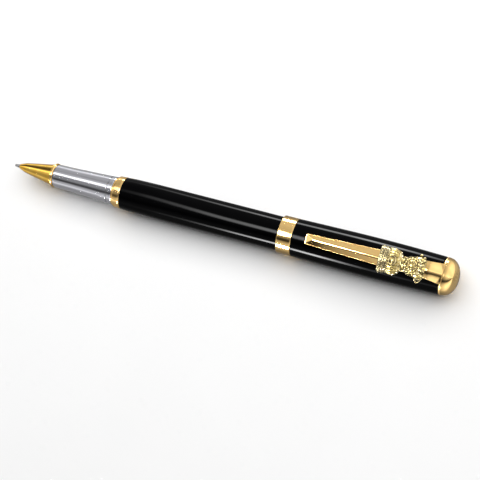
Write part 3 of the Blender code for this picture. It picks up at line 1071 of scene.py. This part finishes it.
# Strip lamps: angle, spread, how far the tip end swings round, then brightness along the tunnel.
STRIPS = (
    (0.5, 9.4, 15.0, (
        (-0.36, 0.7), (-0.28, 1.3), (-0.25, 5), (-0.22, 9), (-0.19, 19), (-0.145, 26), (-0.121, 30),
        (-0.106, 1.3), (0.0, 0.8), (0.12, 0.0),
    )),
    (81.5, 6.0, 2.5, (
        (-0.26, 0.2), (-0.22, 2), (-0.19, 11), (-0.165, 52), (-0.12, 95), (-0.10, 36),
        (-0.08, 13), (-0.06, 4), (0.0, 2), (0.05, 0.0),
    )),
    (-93.5, 6.4, 8.0, (
        (-0.28, 0.5), (-0.25, 1.6), (-0.22, 3.8), (-0.18, 10), (-0.15, 17), (-0.10, 20),
        (-0.066, 34), (-0.02, 22), (0.03, 5), (0.1, 0.0),
    )),
)
# Where along the tunnel the strips swing, and where the nose's and the grip's levels take over.
SWING_FROM, SWING_TO = -0.17, -0.26
NOSE_FROM, NOSE_TO = -0.5, -0.62
GRIP_FROM, GRIP_TO = -0.235, -0.27
FAR_FROM, FAR_TO, FAR_GAIN = 0.05, 0.5, 1.0
# The brightest level that each kind of table can hold.
BASE_FULL, GRIP_FULL, STRIP_FULL = 1.2, 1.8, 100.0
STRIP_GAIN = 1.5
EDGE_POWER = 4.0


class Nodes:
    """Short ways to write a node tree."""

    def __init__(self, tree):
        self.tree = tree

    def new(self, kind):
        return self.tree.nodes.new(kind)

    def put(self, value, socket):
        if isinstance(value, (int, float)):
            socket.default_value = value
        else:
            self.tree.links.new(value, socket)

    def math(self, operation, first, second=0.0):
        node = self.new("ShaderNodeMath")
        node.operation = operation
        self.put(first, node.inputs[0])
        self.put(second, node.inputs[1])
        return node.outputs[0]

    def mix(self, first, second, share):
        """All first where share is 1, all second where it is 0."""
        rest = self.math("MULTIPLY", second, self.math("SUBTRACT", 1.0, share))
        return self.math("ADD", self.math("MULTIPLY", first, share), rest)

    def smooth(self, value, start, end):
        """0 at start, 1 at end, with an S curve between."""
        node = self.new("ShaderNodeMapRange")
        node.interpolation_type = "SMOOTHSTEP"
        self.put(value, node.inputs["Value"])
        node.inputs["From Min"].default_value = start
        node.inputs["From Max"].default_value = end
        return node.outputs["Result"]

    def levels(self, value, stops, start, end, full):
        """A grey ramp through (place, level) stops, over start..end."""
        share = self.math("DIVIDE", self.math("SUBTRACT", value, start), end - start)
        ramp = self.new("ShaderNodeValToRGB")
        ramp.color_ramp.interpolation = "EASE"
        marks = ramp.color_ramp.elements
        while len(marks) < len(stops):
            marks.new(0.5)
        for mark, (place, level) in zip(marks, stops):
            mark.position = (place - start) / (end - start)
            mark.color = (*[level / full] * 3, 1.0)
        self.put(share, ramp.inputs["Fac"])
        return self.math("MULTIPLY", ramp.outputs["Color"], full)


def tent_material():
    """Light that depends on the place in the tunnel only."""
    material = bpy.data.materials.new("tent_light")
    material.use_nodes = True
    material.cycles.emission_sampling = "NONE"
    tree = material.node_tree
    tree.nodes.clear()
    node = Nodes(tree)
    where, split = node.new("ShaderNodeTexCoord"), node.new("ShaderNodeSeparateXYZ")
    tree.links.new(where.outputs["Object"], split.inputs[0])
    place = split.outputs["X"]
    across = node.math("MULTIPLY", split.outputs["Y"], -1.0)
    lift = node.math("SUBTRACT", split.outputs["Z"], AXIS_Z)
    angle = node.math("DEGREES", node.math("ARCTAN2", across, lift))
    base = node.levels(angle, BASE_LIGHT, -180, 180, BASE_FULL)
    nose = node.levels(angle, NOSE_LIGHT, -180, 180, BASE_FULL)
    grip = node.levels(angle, GRIP_LIGHT, -180, 180, GRIP_FULL)
    total = node.mix(grip, base, node.smooth(place, GRIP_FROM, GRIP_TO))
    total = node.mix(nose, total, node.smooth(place, NOSE_FROM, NOSE_TO))
    swung = node.smooth(place, SWING_FROM, SWING_TO)
    for middle, wide, swing, along in STRIPS:
        off = node.math("SUBTRACT", angle, middle)
        off = node.math("ADD", off, node.math("MULTIPLY", swung, swing))
        off = node.math("POWER", node.math("ABSOLUTE", node.math("DIVIDE", off, wide)), EDGE_POWER)
        shape = node.math("EXPONENT", node.math("MULTIPLY", off, -1.0))
        level = node.levels(place, along, -0.5, 0.5, STRIP_FULL)
        level = node.math("MULTIPLY", level, STRIP_GAIN)
        total = node.math("ADD", total, node.math("MULTIPLY", shape, level))
    far = node.math("MULTIPLY", node.smooth(place, FAR_FROM, FAR_TO), FAR_GAIN)
    total = node.math("MULTIPLY", total, node.math("ADD", far, 1.0))
    light, out = node.new("ShaderNodeEmission"), node.new("ShaderNodeOutputMaterial")
    tree.links.new(total, light.inputs["Strength"])
    tree.links.new(light.outputs[0], out.inputs["Surface"])
    return material


def make_tent(sides=96):
    """The tunnel's mesh, with closed ends; only reflections see it."""
    verts, faces = [], []
    for k in range(sides):
        angle = TAU * k / sides
        y, z = -TENT_REACH * math.sin(angle), AXIS_Z + TENT_REACH * math.cos(angle)
        verts += [(-TENT_END, y, z), (TENT_END, y, z)]
        j = (k + 1) % sides
        faces.append((2 * k, 2 * k + 1, 2 * j + 1, 2 * j))
    faces.append(tuple(range(0, 2 * sides, 2)))
    faces.append(tuple(range(1, 2 * sides, 2)))
    mesh = bpy.data.meshes.new("light_tent")
    mesh.from_pydata(verts, [], faces)
    mesh.materials.append(tent_material())
    tent = bpy.data.objects.new("light_tent", mesh)
    bpy.context.scene.collection.objects.link(tent)
    tent.visible_camera = False
    tent.visible_diffuse = False
    tent.visible_shadow = False
    tent.visible_transmission = False


def make_lamp(name, place, size, power):
    """A soft rectangular lamp aimed at the pen's middle, which the metal doesn't mirror."""
    data = bpy.data.lights.new(name, "AREA")
    data.shape = "RECTANGLE"
    data.size, data.size_y = size
    data.energy = power
    lamp = bpy.data.objects.new(name, data)
    bpy.context.scene.collection.objects.link(lamp)
    lamp.location = place
    lamp.rotation_mode = "QUATERNION"
    lamp.rotation_quaternion = (Vector((0, 0, 0)) - Vector(place)).to_track_quat("-Z", "Y")
    lamp.visible_glossy = False


def make_light():
    """A big soft lamp behind and above the pen, and a little light from all round."""
    world = bpy.data.worlds.new("studio")
    world.use_nodes = True
    sky = world.node_tree.nodes["Background"]
    sky.inputs["Color"].default_value = (1.0, 1.0, 1.0, 1.0)
    sky.inputs["Strength"].default_value = 0.12
    bpy.context.scene.world = world
    make_lamp("back_lamp", (0.0, 0.35, 0.72), (1.4, 0.85), 12.5)
    bpy.context.scene.view_settings.view_transform = "Standard"


make_writing_end()
make_section()
make_threaded_bush()
make_trim_ring()
make_barrel()
make_cap()
make_dome()
make_blade()
make_ornament()
make_arm()
make_spring()
finish_hidden()
make_camera()
make_floor()
make_tent()
make_light()
